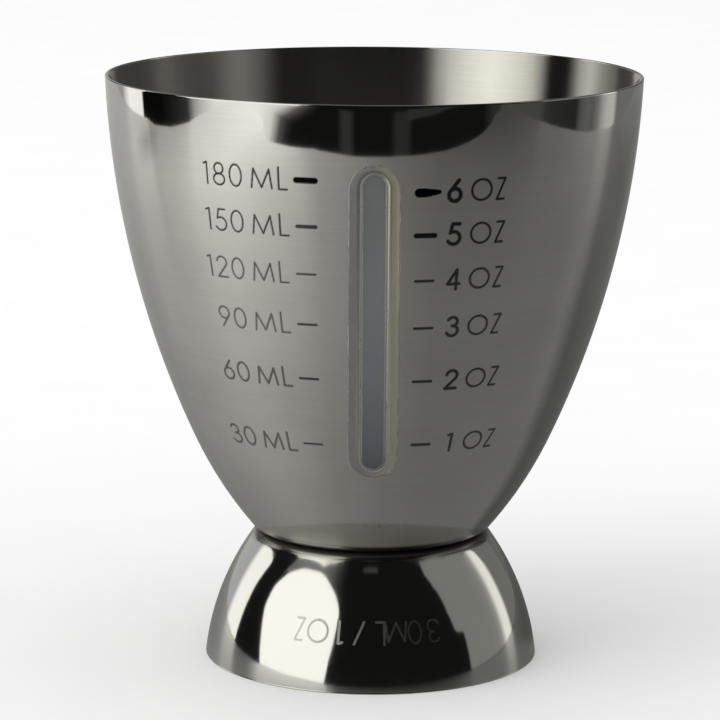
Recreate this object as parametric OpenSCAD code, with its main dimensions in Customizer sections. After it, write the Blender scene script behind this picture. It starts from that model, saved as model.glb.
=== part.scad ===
// Double-ended wine measure: a large steel bowl with a clear sight window, joined base to base
// with a small steel bowl that is its foot. Millimetres, +Z up, origin on the table under the axis.
// The window faces -Y.

/* [Upper bowl] */
// Outside diameter of the upper rim
rim_d = 80.6; // [74:0.1:90]
// Height of the whole measure
total_h = 89.1; // [82:0.1:100]
// Lean of the wall at the upper rim, in degrees from upright
rim_lean = 2.4; // [1:0.1:6]
// Lean of the wall where it reaches the neck
upper_neck_lean = 41; // [36:0.5:46]
// Length of the wall's upper arc against its lower arc
arc_balance = 3.25; // [2:0.05:5]

/* [Neck] */
// Diameter of the neck, where both walls head for the joint
neck_d = 35.1; // [31:0.1:40]
// Height of the joint between the two bowls
joint_z = 19.6; // [17.5:0.1:22.5]
// Outside radius of the corner where a wall turns into its bottom
corner_radius = 2.5; // [1.5:0.1:3]

/* [Lower bowl] */
// Outside diameter of the lower rim, on the table
base_d = 50.8; // [47:0.1:56]
// Lean of the wall at the lower rim
base_lean = 6.2; // [3:0.1:9]
// Lean of the lower wall where it reaches the neck
lower_neck_lean = 37.3; // [33:0.1:42]

/* [Sheet] */
// Thickness of the steel sheet
wall = 0.5; // [0.4:0.05:1]
// Rounding of the rim edges
rim_round = 0.15; // [0.05:0.05:0.2]

/* [Sight window] */
// Distance from the upper rim down to the window's lip
window_drop = 8.5; // [6:0.1:14]
// Overall height of the window's lip
window_length = 47.4; // [40:0.1:52]
// Overall width of the window's lip
window_w = 7; // [6.2:0.1:9]
// Width of the pane at the bottom of its recess
pane_w = 3.1; // [2.4:0.1:3.6]
// How far the lips overlap the edge of the slot
lip_grip = 1; // [0.8:0.05:1.2]
// Height of the outer lip above the steel
lip_h = 0.7; // [0.5:0.05:1]
// Height of the inner lip above the steel
inner_lip_h = 0.5; // [0.4:0.05:0.8]
// Thickness of the pane
pane_t = 0.8; // [0.6:0.05:1.2]
// Gap between the window's groove and the steel
groove_fit = 0.05; // [0.03:0.01:0.1]

/* [Seal] */
// Width of the sealant fillet on the steel
seal_w = 0.35; // [0.2:0.05:0.6]
// Height of the sealant fillet up the lip
seal_h = 0.3; // [0.2:0.05:0.4]
// Gap left under and beside the sealant
seal_gap = 0.02; // [0.01:0.01:0.04]

/* [Welds] */
// Number of spot welds between the two bottoms
weld_count = 3; // [3:1:6]
// Diameter of one weld nugget
weld_d = 4; // [3:0.1:5]
// Diameter of the circle that the welds lie on
weld_circle_d = 18; // [14:0.5:22]

/* [Hidden] */

$fn = 96;
long_arc_steps = 14;
short_arc_steps = 8;
corner_steps = 6;
round_steps = 4;
edge_steps = 3;
side_steps = 24;
end_steps = 14;

window_mid = total_h - window_drop - window_length / 2;
lip_round = 0.55 * lip_h;
inner_round = 0.6 * inner_lip_h;
recess_round = 0.2;

// Directions in the (radius, height) plane for a wall that leans by an angle
function outward(lean) = [cos(lean), -sin(lean)];
function downward(lean) = [-sin(lean), -cos(lean)];

// Points along an arc, without its first point, from one lean to another
function arc(centre, radius, from, to, steps) =
    [for (i = [1:steps]) centre + radius * outward(from + (to - from) * i / steps)];

// A bowl in its own frame, bottom at height 0 and rim up. The wall is two tangent arcs from the
// rim to the neck, and a corner arc turns it into the flat bottom.
// Returns [upper centre, upper radius, lower centre, lower radius, lean where they meet,
//          corner centre, lean where the corner starts, depth]
function bowl(rim_r, depth, top_lean, neck_r, neck_lean, balance) =
    let (top = [rim_r, depth],
         neck = [neck_r, 0],
         t0 = downward(top_lean),
         t2 = downward(neck_lean),
         span = neck - top,
         a = 2 * balance * (t0 * t2 - 1),
         b = -2 * span * (balance * t0 + t2),
         d2 = (-b - sqrt(b * b - 4 * a * (span * span))) / (2 * a),
         d1 = balance * d2,
         meet = (neck - d2 * t2) - (top + d1 * t0),
         meet_lean = atan2(-meet[0], -meet[1]),
         r1 = d1 / tan((meet_lean - top_lean) / 2),
         r2 = d2 / tan((neck_lean - meet_lean) / 2),
         c1 = top - r1 * outward(top_lean),
         c2 = neck - r2 * outward(neck_lean),
         c3 = [c2[0] + sqrt((r2 - corner_radius) ^ 2 - (c2[1] - corner_radius) ^ 2), corner_radius])
    [c1, r1, c2, r2, meet_lean, c3, atan2(c2[1] - c3[1], c3[0] - c2[0]), depth];

// Radius of a bowl's wall at a height, on the surface offset outward by off
function wall_r(b, z, off) =
    z > b[0][1] - (b[1] + off) * sin(b[4])
    ? b[0][0] + sqrt((b[1] + off) ^ 2 - (b[0][1] - z) ^ 2)
    : b[2][0] + sqrt((b[3] + off) ^ 2 - (b[2][1] - z) ^ 2);

// Meridian of a bowl's surface from just below the rim to the edge of its flat bottom
function meridian(b, off) =
    let (start_z = b[7] - rim_round,
         start_lean = asin((b[0][1] - start_z) / (b[1] + off)))
    concat([[wall_r(b, start_z, off), start_z]],
           arc(b[0], b[1] + off, start_lean, b[4], long_arc_steps),
           arc(b[2], b[3] + off, b[4], b[6], short_arc_steps),
           arc(b[5], corner_radius + off, b[6], 90, corner_steps));

// Quarter round on a rim edge, where side is 1 for the outer edge and -1 for the inner one
function rim_edge(b, off, side) =
    let (z = b[7] - rim_round,
         centre = [wall_r(b, z, off) - side * rim_round, z])
    [for (i = [1:round_steps])
        centre + rim_round * [side * cos(90 * i / round_steps), sin(90 * i / round_steps)]];

function reversed(points) = [for (i = [len(points) - 1:-1:0]) points[i]];

upper_bowl = bowl(rim_d / 2, total_h - joint_z, rim_lean, neck_d / 2, upper_neck_lean, arc_balance);
lower_bowl = bowl(base_d / 2, joint_z, base_lean, neck_d / 2, lower_neck_lean, 1);

// Drawn steel bowl: the sheet between its outer and inner surfaces
module drawn_bowl(b) {
    rotate_extrude()
        polygon(concat(reversed(rim_edge(b, 0, 1)),
                       meridian(b, 0),
                       [[0, 0], [0, wall]],
                       reversed(meridian(b, -wall)),
                       rim_edge(b, -wall, -1)));
}

// Flat stadium outline in the window's place, inset from the lip's outline
module stadium(inset) {
    radius = window_w / 2 - inset;
    run = window_length - window_w;
    square([2 * radius, run], center = true);
    for (side = [-1, 1])
        translate([0, side * run / 2])
            circle(radius);
}

// The same outline as points, from the top round by the right, on the wall offset outward by off
function window_loop(inset, off) =
    let (radius = window_w / 2 - inset,
         run = window_length - window_w,
         half = concat(
             [for (i = [0:end_steps / 2]) let (t = 180 * i / end_steps)
                 [radius * sin(t), run / 2 + radius * cos(t)]],
             [for (i = [1:side_steps - 1]) [radius, run / 2 - run * i / side_steps]],
             [for (i = [end_steps / 2:end_steps]) let (t = 180 * i / end_steps)
                 [radius * sin(t), -run / 2 + radius * cos(t)]]),
         n = len(half),
         whole = concat(half, [for (i = [n - 2:-1:1]) [-half[i][0], half[i][1]]]))
    [for (p = whole)
        let (z = window_mid + p[1],
             r = wall_r(upper_bowl, z - joint_z, off))
        [p[0], -sqrt(r * r - p[0] * p[0]), z]];

// Solid skinned over loops of equal length: closed into a ring, or capped across its two end loops
module skin(loops, ring) {
    n = len(loops[0]);
    m = len(loops);
    sides = [for (j = [0:ring ? m - 1 : m - 2], i = [0:n - 1])
        let (k = (j + 1) % m,
             next = (i + 1) % n)
        each [[j * n + i, k * n + next, j * n + next], [j * n + i, k * n + i, k * n + next]]];
    front = ring ? [] : cap(n);
    back = [for (f = front) [f[0], f[2], f[1]] + (m - 1) * n * [1, 1, 1]];
    polyhedron(points = [for (l = loops) each l], faces = concat(sides, front, back), convexity = 6);
}

// Triangles across a loop that is symmetric about its first point
function cap(n) =
    [for (i = [0:n / 2 - 1])
        each [if (i < n / 2 - 1) [i, i + 1, n - i - 1], if (i > 0) [i, n - i - 1, n - i]]];

// Points round a quarter turn in the (inset, offset) plane of a window section
function turn(centre, radius, from, to) =
    [for (i = [0:edge_steps])
        let (t = from + (to - from) * i / edge_steps)
        centre + radius * [cos(t), sin(t)]];

// Section of the window: from the pane up its recess, over the outer lip, through the slot, and
// round the inner lip to the inner face
recess_edge = (window_w - pane_w) / 2;
recess_side = recess_edge - recess_round;
pane_face = pane_t - wall - inner_lip_h;
inner_face = -wall - inner_lip_h;
web = lip_grip + groove_fit;
window_section = concat(
    turn([recess_edge, pane_face + recess_round], recess_round, 270, 180),
    turn([recess_side - lip_round, lip_h - lip_round], lip_round, 0, 90),
    turn([lip_round, lip_h - lip_round], lip_round, 90, 180),
    [[0, groove_fit], [web, groove_fit], [web, -wall - groove_fit], [0, -wall - groove_fit]],
    turn([inner_round, inner_face + inner_round], inner_round, 180, 270),
    [[recess_edge, inner_face]]);

// Section of the sealant fillet outside the outer lip
seal_section = [
    [-seal_gap, seal_h],
    [-seal_gap - 0.3 * (seal_w - seal_gap), seal_gap + 0.4 * (seal_h - seal_gap)],
    [-seal_w, seal_gap],
    [-seal_gap, seal_gap]];

module upper_cup() {
    color("silver")
    difference() {
        translate([0, 0, joint_z])
            drawn_bowl(upper_bowl);
        translate([0, 0, window_mid])
            rotate([90, 0, 0])
                linear_extrude(rim_d)
                    stadium(lip_grip);
        weld_spots();
    }
}

module lower_cup() {
    color("gainsboro")
    difference() {
        translate([0, 0, joint_z])
            mirror([0, 0, 1])
                drawn_bowl(lower_bowl);
        weld_spots();
    }
}

// Spot-weld nuggets, half in each bottom
module weld_spots() {
    for (i = [0:weld_count - 1])
        rotate(360 * i / weld_count)
            translate([weld_circle_d / 2, 0, joint_z - wall / 2])
                cylinder(d = weld_d, h = wall);
}

module base_welds() {
    color("gray")
    weld_spots();
}

// Clear moulded window that grips the slot's edge between its two lips
module sight_window() {
    color("lightblue")
    skin([for (p = window_section) window_loop(p[0], p[1])], false);
}

// Clear sealant run along the foot of the outer lip
module window_seal() {
    color("white")
    skin([for (p = seal_section) window_loop(p[0], p[1])], true);
}

upper_cup();
lower_cup();
base_welds();
sight_window();
window_seal();
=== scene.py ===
import math
import bpy
import numpy as np
from mathutils import Matrix, Vector


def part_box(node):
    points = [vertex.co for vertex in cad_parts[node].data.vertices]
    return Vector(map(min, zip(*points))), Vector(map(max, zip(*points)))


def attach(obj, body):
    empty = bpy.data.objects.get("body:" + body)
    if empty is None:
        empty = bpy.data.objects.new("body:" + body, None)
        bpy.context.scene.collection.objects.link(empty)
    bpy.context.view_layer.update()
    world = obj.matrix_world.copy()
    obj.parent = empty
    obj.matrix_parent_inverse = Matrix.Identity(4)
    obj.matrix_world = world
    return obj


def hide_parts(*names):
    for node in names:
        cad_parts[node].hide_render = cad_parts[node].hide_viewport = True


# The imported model, its box, and the heights that the bowls take from it
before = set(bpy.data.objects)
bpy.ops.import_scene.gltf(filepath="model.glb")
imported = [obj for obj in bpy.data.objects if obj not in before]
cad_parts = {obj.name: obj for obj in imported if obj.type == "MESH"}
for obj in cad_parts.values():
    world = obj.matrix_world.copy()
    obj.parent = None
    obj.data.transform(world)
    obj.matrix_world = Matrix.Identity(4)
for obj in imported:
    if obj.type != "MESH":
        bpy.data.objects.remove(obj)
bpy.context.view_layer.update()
TOTAL_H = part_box("upper_cup")[1][2]
JOINT_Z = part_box("upper_cup")[0][2]

# Bowls, in metres and degrees
RIM_R = 0.0403
RIM_LEAN = 2.4
UPPER_NECK_LEAN = 41.0
ARC_BALANCE = 3.25
NECK_R = 0.01755
CORNER_R = 0.0025
BASE_R = 0.0254
BASE_LEAN = 6.2
LOWER_NECK_LEAN = 37.3
WALL = 0.0005
RIM_ROUND = 0.00015

# Sight window and its seal
WINDOW_DROP = 0.0085
WINDOW_LENGTH = 0.0474
WINDOW_W = 0.007
PANE_W = 0.0031
LIP_GRIP = 0.001
LIP_H = 0.0007
INNER_LIP_H = 0.0005
PANE_T = 0.0008
GROOVE_FIT = 0.00005
SEAL_W = 0.00035
SEAL_H = 0.0003
SEAL_GAP = 0.00002

# Engraved scale: heights of the marks, from the top mark down
ML_MARKS = (0.0783, 0.0716, 0.0646, 0.05705, 0.0487, 0.0383)
OZ_MARKS = (0.0768, 0.0705, 0.0638, 0.0567, 0.0485, 0.0384)
CAP_H = 0.0031
LETTER_GAP = 0.0009
WORD_GAP = 0.0016
ENGRAVE_DEPTH = 0.00002
SHALLOW_DEPTH = 0.000009
ETCH_DEPTH = 0.000004
ENGRAVE_SLOPE = 0.0001

# Mesh steps
FINE_STEP = 0.0001
ROW_STEP = 0.0011
END_ZONE = 0.0004
COLUMN_STEP = math.radians(1.5)
FLAT_STEPS = 6
CORNER_STEPS = 10
RIM_STEPS = 5


def smoothstep(low, high, value):
    t = np.clip((value - low) / (high - low), 0.0, 1.0)
    return t * t * (3.0 - 2.0 * t)


def spaced(low, high, step):
    return np.linspace(low, high, max(1, math.ceil((high - low) / step)) + 1)


def graded(low, high, zones, fine, coarse):
    """Positions from low to high, spaced fine inside the zones and coarse between them."""
    runs = []
    start = low
    for zone_low, zone_high in sorted(zones):
        zone_low = max(zone_low, start)
        if zone_high <= zone_low:
            continue
        if zone_low > start:
            runs.append(spaced(start, zone_low, coarse)[:-1])
        runs.append(spaced(zone_low, zone_high, fine)[:-1])
        start = zone_high
    runs.append(spaced(start, high, coarse))
    return np.concatenate(runs)


# Directions in the (radius, height) plane for a wall that leans by an angle
def outward(lean):
    return np.array((math.cos(lean), -math.sin(lean)))


def downward(lean):
    return np.array((-math.sin(lean), -math.cos(lean)))


class Bowl:
    """A drawn bowl in its own frame, bottom at height 0 and rim up.

    The wall is two tangent arcs from the rim to the neck, and a corner arc turns it into the
    flat bottom.
    """

    def __init__(self, rim_r, depth, rim_lean, neck_lean, balance):
        rim_lean = math.radians(rim_lean)
        neck_lean = math.radians(neck_lean)
        top = np.array((rim_r, depth))
        neck = np.array((NECK_R, 0.0))
        rim_way = downward(rim_lean)
        neck_way = downward(neck_lean)
        span = neck - top
        a = 2.0 * balance * (rim_way @ neck_way - 1.0)
        b = -2.0 * span @ (balance * rim_way + neck_way)
        lower = (-b - math.sqrt(b * b - 4.0 * a * (span @ span))) / (2.0 * a)
        upper = balance * lower
        meet = (neck - lower * neck_way) - (top + upper * rim_way)
        self.depth = depth
        self.meet_lean = math.atan2(-meet[0], -meet[1])
        self.upper_r = upper / math.tan((self.meet_lean - rim_lean) / 2.0)
        self.lower_r = lower / math.tan((neck_lean - self.meet_lean) / 2.0)
        self.upper_centre = top - self.upper_r * outward(rim_lean)
        self.lower_centre = neck - self.lower_r * outward(neck_lean)
        reach = math.sqrt((self.lower_r - CORNER_R) ** 2 - (self.lower_centre[1] - CORNER_R) ** 2)
        self.corner_centre = np.array((self.lower_centre[0] + reach, CORNER_R))
        self.corner_lean = math.atan2(self.lower_centre[1] - CORNER_R, reach)

    def wall(self, z, off=0.0):
        """Radius and lean of the wall at heights z, on the surface offset outward by off."""
        z = np.asarray(z, dtype=float)
        on_upper = z > self.upper_centre[1] - (self.upper_r + off) * math.sin(self.meet_lean)
        centre_r = np.where(on_upper, self.upper_centre[0], self.lower_centre[0])
        centre_z = np.where(on_upper, self.upper_centre[1], self.lower_centre[1])
        radius = np.where(on_upper, self.upper_r, self.lower_r) + off
        drop = centre_z - z
        return centre_r + np.sqrt(radius ** 2 - drop ** 2), np.arcsin(drop / radius)

    def wall_foot(self, off=0.0):
        """Height where the wall ends and the corner starts."""
        return self.corner_centre[1] - (CORNER_R + off) * math.sin(self.corner_lean)

    def rows(self, off, zones):
        """Heights of the wall's rows, closer together in the zones and at both ends of the wall."""
        low, high = self.wall_foot(off), self.depth - RIM_ROUND
        ends = [(low, low + END_ZONE), (high - END_ZONE, high)]
        return graded(low, high, zones + ends, FINE_STEP, ROW_STEP)

    def corner(self, off):
        """Points round the corner from the flat bottom up to the wall, both ends included."""
        leans = np.linspace(math.pi / 2.0, self.corner_lean, CORNER_STEPS + 1)
        return [self.corner_centre + (CORNER_R + off) * outward(lean) for lean in leans]

    def section(self, wall_z):
        """Closed section from the axis under the bottom, up the outside and down the inside.

        Returns the points, their outward leans on the outer wall, and how many rows are inside.
        """
        outer_r, outer_lean = self.wall(wall_z)
        inner_z = self.rows(-WALL, [])
        inner_r, _ = self.wall(inner_z, -WALL)
        flat = np.linspace(0.0, self.corner_centre[0], FLAT_STEPS + 1)[:-1]
        turns = np.linspace(0.0, math.pi / 2.0, RIM_STEPS + 1)
        rim_z = self.depth - RIM_ROUND
        outer_rim = [(outer_r[-1] - RIM_ROUND * (1.0 - math.cos(t)), rim_z + RIM_ROUND * math.sin(t))
                     for t in turns[1:]]
        inner_rim = [(inner_r[-1] + RIM_ROUND * (1.0 - math.cos(t)), rim_z + RIM_ROUND * math.sin(t))
                     for t in turns[:0:-1]]
        outside = [(r, 0.0) for r in flat] + self.corner(0.0)[:-1]
        wall_rows = list(zip(outer_r, wall_z))
        inside = list(zip(inner_r, inner_z))[::-1] + self.corner(-WALL)[-2::-1]
        inside += [(r, WALL) for r in flat[::-1]]
        points = np.array(outside + wall_rows + outer_rim + inner_rim + inside)
        leans = np.full(len(points), np.nan)
        leans[len(outside):len(outside) + len(wall_rows)] = outer_lean
        return points, leans, len(inside)


# Material slots of a bowl
OUTSIDE = 0
INSIDE = 1

upper_bowl = Bowl(RIM_R, TOTAL_H - JOINT_Z, RIM_LEAN, UPPER_NECK_LEAN, ARC_BALANCE)
lower_bowl = Bowl(BASE_R, JOINT_Z, BASE_LEAN, LOWER_NECK_LEAN, 1.0)


# Plain stroke letters, one unit tall: each glyph is its width and its pen strokes
RING_STEP = 15.0


def ring(centre_x, centre_y, radius_x, radius_y, start=0.0, end=360.0):
    """Arc of an ellipse between two angles in degrees."""
    steps = int(abs(end - start) / RING_STEP)
    turns = np.radians(np.linspace(start, end, steps + 1))
    return [(centre_x + radius_x * math.cos(t), centre_y + radius_y * math.sin(t)) for t in turns]


def turned(strokes, width):
    """A glyph's strokes turned by half a turn."""
    return [[(width - x, 1.0 - y) for x, y in stroke] for stroke in strokes]


SIX = [ring(0.29, 0.3, 0.29, 0.3), [(0.46, 1.0), (0.03, 0.43)]]
GLYPHS = {
    "0": (0.62, [ring(0.31, 0.5, 0.31, 0.5)]),
    "1": (0.26, [[(0.0, 0.94), (0.18, 1.0), (0.18, 0.0)]]),
    "2": (0.56, [ring(0.28, 0.73, 0.27, 0.27, 170.0, -38.0) + [(0.0, 0.0), (0.56, 0.0)]]),
    "3": (0.55, [ring(0.25, 0.76, 0.24, 0.24, 155.0, -80.0), ring(0.26, 0.27, 0.29, 0.27, 95.0, -155.0)]),
    "4": (0.58, [[(0.43, 0.0), (0.43, 1.0), (0.0, 0.27), (0.58, 0.27)]]),
    "5": (0.56, [[(0.52, 1.0), (0.17, 1.0), (0.08, 0.56)],
                 ring(0.25, 0.31, 0.31, 0.31, 123.0, -150.0)]),
    "6": (0.58, SIX),
    "8": (0.6, [ring(0.3, 0.75, 0.24, 0.25), ring(0.3, 0.26, 0.3, 0.26)]),
    "9": (0.58, turned(SIX, 0.58)),
    "L": (0.4, [[(0.0, 1.0), (0.0, 0.0), (0.4, 0.0)]]),
    "M": (1.07, [[(0.0, 0.0), (0.12, 0.88), (0.51, 0.03), (0.9, 0.88), (1.02, 0.0)]]),
    "O": (1.0, [ring(0.5, 0.5, 0.5, 0.5)]),
    "Z": (0.4, [[(0.03, 1.0), (0.4, 1.0), (0.0, 0.0), (0.38, 0.0)]]),
    "/": (0.45, [[(0.0, 0.0), (0.45, 1.0)]]),
}


def text_width(text, spread):
    gaps = sum(WORD_GAP - LETTER_GAP if c == " " else LETTER_GAP for c in text) - LETTER_GAP
    return gaps + sum(GLYPHS[c][0] * spread for c in text if c != " ")


class Mark:
    """Engraved strokes about one height of a wall: pen lines in (arc length, height)."""

    def __init__(self, height, ink, depth=ENGRAVE_DEPTH):
        self.height = height
        self.ink = ink
        self.depth = depth
        self.lines = []

    def line(self, points, width):
        self.lines.append((np.array(points), width))

    def text(self, text, start, width, size=CAP_H, spread=CAP_H, upside_down=False):
        """Letters size tall, as wide as letters spread tall, about the mark's height from start on.

        Each letter can be upside down in its place.
        """
        s = start
        for letter in text:
            if letter == " ":
                s += WORD_GAP - LETTER_GAP
                continue
            advance, strokes = GLYPHS[letter]
            if upside_down:
                strokes = turned(strokes, advance)
            for stroke in strokes:
                self.line([(s + x * spread, self.height + (y - 0.5) * size) for x, y in stroke], width)
            s += advance * spread + LETTER_GAP

    def box(self):
        points = np.concatenate([line for line, _ in self.lines])
        edge = max(width for _, width in self.lines) / 2.0 + 2.0 * ENGRAVE_SLOPE
        return points.min(axis=0) - edge, points.max(axis=0) + edge

    def cut(self, s, z):
        """Distance outside the strokes, negative inside, at arrays of places."""
        best = np.full(s.shape, np.inf)
        for points, width in self.lines:
            for (s0, z0), (s1, z1) in zip(points[:-1], points[1:]):
                ds, dz = s1 - s0, z1 - z0
                t = ((s - s0) * ds + (z - z0) * dz) / (ds * ds + dz * dz)
                t = np.clip(t, 0.0, 1.0)
                away = np.hypot(s - s0 - t * ds, z - z0 - t * dz)
                best = np.minimum(best, away - width / 2.0)
        return best


# Upper scale: volumes of the top marks, and lists with a value for each mark from the top down
ML_TOP = 180
ML_STEP = 30
OZ_TOP = 6
TEXT_LIFT = 0.0001
ROW_SHRINK = 0.02
ROW_NARROWING = 0.005
ML_STROKES = (0.00024, 0.00025, 0.00024, 0.00026, 0.0003, 0.00032)
ML_SIZE = 1.01
ML_ENDS = (-0.0125, -0.01232, -0.01235, -0.0122, -0.012, -0.01142)
ML_INKS = (0.93, 0.88, 0.78, 0.72, 0.74, 0.68)
ML_TICK_GAP = 0.00135

# Ticks are (length, width, ink), and the top ounce tick thickens into a wedge of (reach, width)
ML_TICKS = ((0.00275, 0.0008, 1.0), (0.0027, 0.0005, 0.86), (0.0027, 0.0003, 0.78),
            (0.0027, 0.00032, 0.86), (0.0027, 0.00032, 0.86), (0.0027, 0.00028, 0.82))
OZ_STROKE = 0.0003
OZ_SIZE = 0.97
OZ_DIGIT = 0.01145
OZ_LETTERS = 0.0155
OZ_DRIFT = 0.00005
OZ_DIGIT_STROKES = (0.00054, 0.0005, 0.00044, 0.00044, 0.00046, 0.0004)
OZ_INKS = (0.9, 0.88, 0.82, 0.82, 0.84, 0.78)
OZ_TICK = 0.00595
OZ_TICKS = ((0.0032, 0.0006, 1.0), (0.0027, 0.00068, 0.95), (0.0026, 0.00036, 0.85),
            (0.0026, 0.00036, 0.85), (0.0026, 0.0004, 0.85), (0.0026, 0.00042, 0.8))
WEDGE = ((0.4, 0.00125), (0.6, 0.00108), (0.82, 0.00085))
WEDGE_SAG = 0.3


def upper_scale():
    """The two scales of the upper bowl, millilitres on the left and ounces on the right."""
    marks = []
    for i, (height, end, ink) in enumerate(zip(ML_MARKS, ML_ENDS, ML_INKS)):
        label = "%d ML" % (ML_TOP - ML_STEP * i)
        size = CAP_H * (ML_SIZE - ROW_SHRINK * i)
        spread = CAP_H * (ML_SIZE - ROW_NARROWING * i)
        text = Mark(height + TEXT_LIFT, ink)
        text.text(label, end - text_width(label, spread), ML_STROKES[i], size, spread)
        length, width, tick_ink = ML_TICKS[i]
        tick = Mark(height, tick_ink)
        tick.line([(end + ML_TICK_GAP, height), (end + ML_TICK_GAP + length, height)], width)
        marks += [text, tick]
    for i, (height, ink) in enumerate(zip(OZ_MARKS, OZ_INKS)):
        digit = "%d" % (OZ_TOP - i)
        size = CAP_H * (OZ_SIZE - ROW_SHRINK * i)
        text = Mark(height + TEXT_LIFT, ink, SHALLOW_DEPTH)
        spread = CAP_H * (OZ_SIZE - ROW_NARROWING * i)
        text.text(digit, OZ_DIGIT - text_width(digit, spread) / 2.0, OZ_DIGIT_STROKES[i], size, spread)
        letters = OZ_LETTERS - OZ_DRIFT * i - text_width("O", spread) / 2.0
        text.text("OZ", letters, OZ_STROKE, size, spread)
        length, width, tick_ink = OZ_TICKS[i]
        tick = Mark(height, tick_ink, SHALLOW_DEPTH)
        start = OZ_TICK - OZ_DRIFT * i
        tick.line([(start, height), (start + length, height)], width)
        for reach, thick in WEDGE if i == 0 else ():
            inset = (thick - width) / 2.0
            low = height - WEDGE_SAG * inset
            tick.line([(start + inset, low), (start + reach * length, low)], thick)
        marks += [text, tick]
    return marks


# Lower scale: where each letter starts, upside down, and how strongly it is etched; the strength falls
# towards the right letters as painted shade
LOWER_MARK = 0.0088
LOWER_STROKE = 0.00032
LOWER_LETTERS = {"Z": (-0.0116, 0.85), "O": (-0.0096, 0.9), "1": (-0.0051, 1.0), "/": (-0.0025, 1.0),
                 "L": (0.0007, 0.9), "M": (0.002, 0.78), "0": (0.0056, 0.68), "3": (0.0086, 0.6)}


def lower_scale():
    """The lower bowl's capacity, etched to be read with that bowl turned up."""
    marks = []
    for letter, (start, strength) in LOWER_LETTERS.items():
        mark = Mark(LOWER_MARK, strength, ETCH_DEPTH)
        mark.text(letter, start, LOWER_STROKE, upside_down=True)
        marks.append(mark)
    return marks


# Ink of a stroke, from full inside its edge to none outside it, in shares of the engraved slope
INK_FULL = -0.3
INK_NONE = 0.8


def revolve(name, bowl, marks, base_z, up):
    """A bowl with engraved marks; up is 1 for a bowl that stands up from base_z, -1 for one below it."""
    def local(z):
        return (z - base_z) * up

    zones_s, zones_z = [], []
    for mark in marks:
        low, high = mark.box()
        mark.wall_r = float(bowl.wall(local(mark.height))[0])
        zones_s.append((low[0] / mark.wall_r, high[0] / mark.wall_r))
        zones_z.append(tuple(sorted((local(low[1]), local(high[1])))))
    fine_turn = FINE_STEP / bowl.wall(bowl.depth / 2.0)[0]
    columns = graded(-math.pi, math.pi, zones_s, fine_turn, COLUMN_STEP)[:-1]
    points, leans, inner_rows = bowl.section(bowl.rows(0.0, zones_z))

    rows, count = len(points), len(columns)
    depth = np.zeros((rows, count))
    ink = np.zeros((rows, count))
    height = base_z + up * points[:, 1]
    for mark in marks:
        low, high = mark.box()
        row = np.where(~np.isnan(leans) & (height > low[1]) & (height < high[1]))[0]
        column = np.where((columns * mark.wall_r > low[0]) & (columns * mark.wall_r < high[0]))[0]
        s, z = np.meshgrid(columns[column] * mark.wall_r, height[row])
        away = mark.cut(s, z)
        place = np.ix_(row, column)
        groove = 1.0 - smoothstep(-ENGRAVE_SLOPE, ENGRAVE_SLOPE, away)
        fill = mark.ink * (1.0 - smoothstep(INK_FULL * ENGRAVE_SLOPE, INK_NONE * ENGRAVE_SLOPE, away))
        depth[place] = np.maximum(depth[place], mark.depth * groove)
        ink[place] = np.maximum(ink[place], fill)

    lean = np.nan_to_num(leans)[:, None]
    radius = points[:, 0, None] - depth * np.cos(lean)
    level = points[:, 1, None] + depth * np.sin(lean)
    x = radius * np.sin(columns)
    y = -radius * np.cos(columns)
    z = base_z + up * level
    body = np.stack((x, y, z), axis=-1)[1:-1].reshape(-1, 3)
    poles = [(0.0, 0.0, base_z), (0.0, 0.0, base_z + up * WALL)]
    first, last = len(body), len(body) + 1

    def corner(i, j):
        return (i - 1) * count + j % count

    faces = [(first, corner(1, j + 1), corner(1, j)) for j in range(count)]
    faces += [(corner(i, j), corner(i, j + 1), corner(i + 1, j + 1), corner(i + 1, j))
              for i in range(1, rows - 2) for j in range(count)]
    faces += [(last, corner(rows - 2, j), corner(rows - 2, j + 1)) for j in range(count)]
    if up < 0:
        faces = [face[::-1] for face in faces]
    ink_values = np.concatenate((ink[1:-1].ravel(), (0.0, 0.0)))
    piece = shell(name, np.concatenate((body, poles)), faces, {"ink": ink_values})
    finish = np.full(len(faces), OUTSIDE, dtype=np.int32)
    finish[-(inner_rows - 1) * count:] = INSIDE
    for _ in range(INSIDE + 1):
        piece.data.materials.append(None)
    piece.data.polygons.foreach_set("material_index", finish)
    return piece


def shell(name, points, faces, values=None):
    """A smooth mesh object with named values on its points."""
    mesh = bpy.data.meshes.new(name)
    mesh.from_pydata([tuple(p) for p in np.asarray(points).tolist()], [], faces)
    for key, numbers in (values or {}).items():
        attribute = mesh.attributes.new(key, "FLOAT", "POINT")
        attribute.data.foreach_set("value", np.asarray(numbers, dtype=float))
    mesh.shade_smooth()
    mesh.update()
    piece = bpy.data.objects.new(name, mesh)
    bpy.context.scene.collection.objects.link(piece)
    return piece


# Window outline: a stadium in its place on the wall, inset from the lip's outline
WINDOW_MID = TOTAL_H - WINDOW_DROP - WINDOW_LENGTH / 2.0
WINDOW_RUN = WINDOW_LENGTH - WINDOW_W
END_THINNING = 0.3
END_STEPS = 28
SIDE_STEPS = 60


def stadium(inset):
    """Points (x, height) from the top round by the right, with the same count for every inset.

    At the two ends the inset is smaller by the share END_THINNING, so the lip is thinner there.
    """
    radius = WINDOW_W / 2.0 - inset
    run = WINDOW_RUN + 2.0 * END_THINNING * inset
    turns = np.linspace(0.0, math.pi, END_STEPS + 1)
    side = np.linspace(0.5, -0.5, SIDE_STEPS + 1)[1:-1] * run
    quarter = END_STEPS // 2
    half = [(np.sin(t) * radius, run / 2.0 + np.cos(t) * radius) for t in turns[:quarter + 1]]
    half += [(radius, z) for z in side]
    half += [(np.sin(t) * radius, np.cos(t) * radius - run / 2.0) for t in turns[quarter:]]
    return np.array(half + [(-x, z) for x, z in half[-2:0:-1]])


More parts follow.
